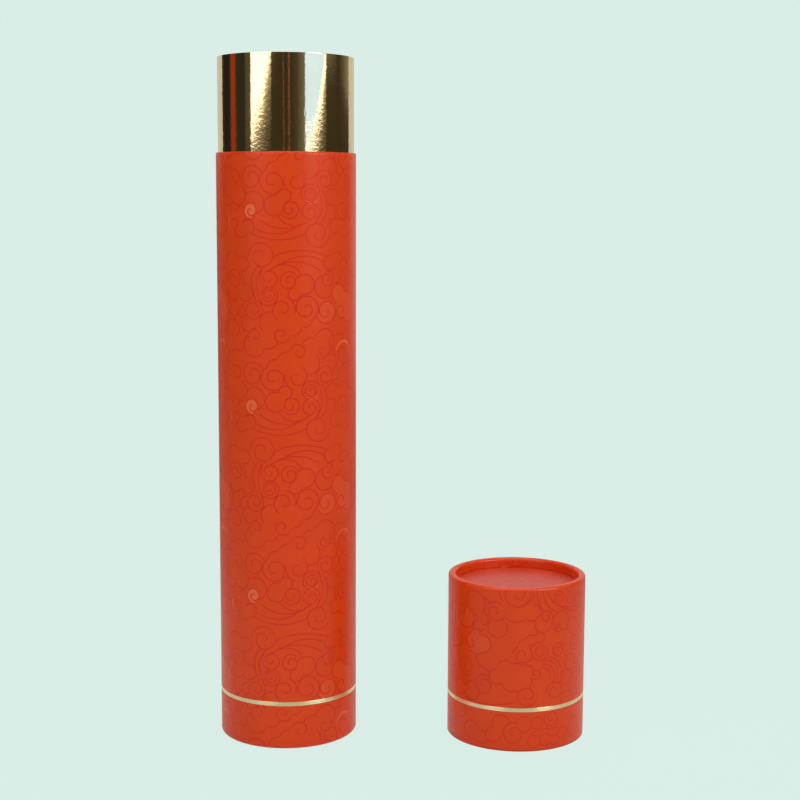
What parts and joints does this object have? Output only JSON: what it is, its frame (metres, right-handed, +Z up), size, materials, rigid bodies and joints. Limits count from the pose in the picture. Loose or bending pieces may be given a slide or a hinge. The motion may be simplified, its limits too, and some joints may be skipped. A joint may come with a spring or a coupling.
{
  "type": "cylindrical gift tube box",
  "caption": "Tall printed paper tube box with a gold foil neck and a lift-off cap standing beside it, both with turned-in rims over pressed discs.",
  "frame": {"origin": "on the table, at the middle of the footprint of the open tube and the cap beside it", "axes": "+Z up along the tube, +X from the tube to the cap, +Y to the back where the paper's lap seams are"},
  "size_m": [0.202, 0.0758, 0.368],
  "materials": {
    "printed_red": "satin tone-on-tone print under a soft matt laminate",
    "disc_red": "satin plain print",
    "foil_gold": "bright metallised foil paper",
    "stripe_gold": "hot-stamped foil",
    "greyboard": "matt wound board",
    "lining_white": "uncoated lining paper"
  },
  "bodies": {
    "tube": {"base_tube": "greyboard", "base_wrap": "printed_red", "base_foil_stripe": "stripe_gold", "base_disc": "greyboard", "base_disc_cover": "disc_red", "base_floor_paper": "lining_white", "neck_tube": "greyboard", "neck_foil": "foil_gold", "neck_lining": "lining_white"},
    "cap": {"cap_tube": "greyboard", "cap_wrap": "printed_red", "cap_foil_stripe": "stripe_gold", "cap_disc": "greyboard", "cap_disc_cover": "disc_red", "cap_ceiling_paper": "lining_white", "cap_lining": "lining_white"}
  },
  "joints": [
    {"name": "cap_lift", "type": "slide", "parent": "tube", "child": "cap", "axis": [0, 0, 1], "range_m": [0, 0.39]}
  ]
}
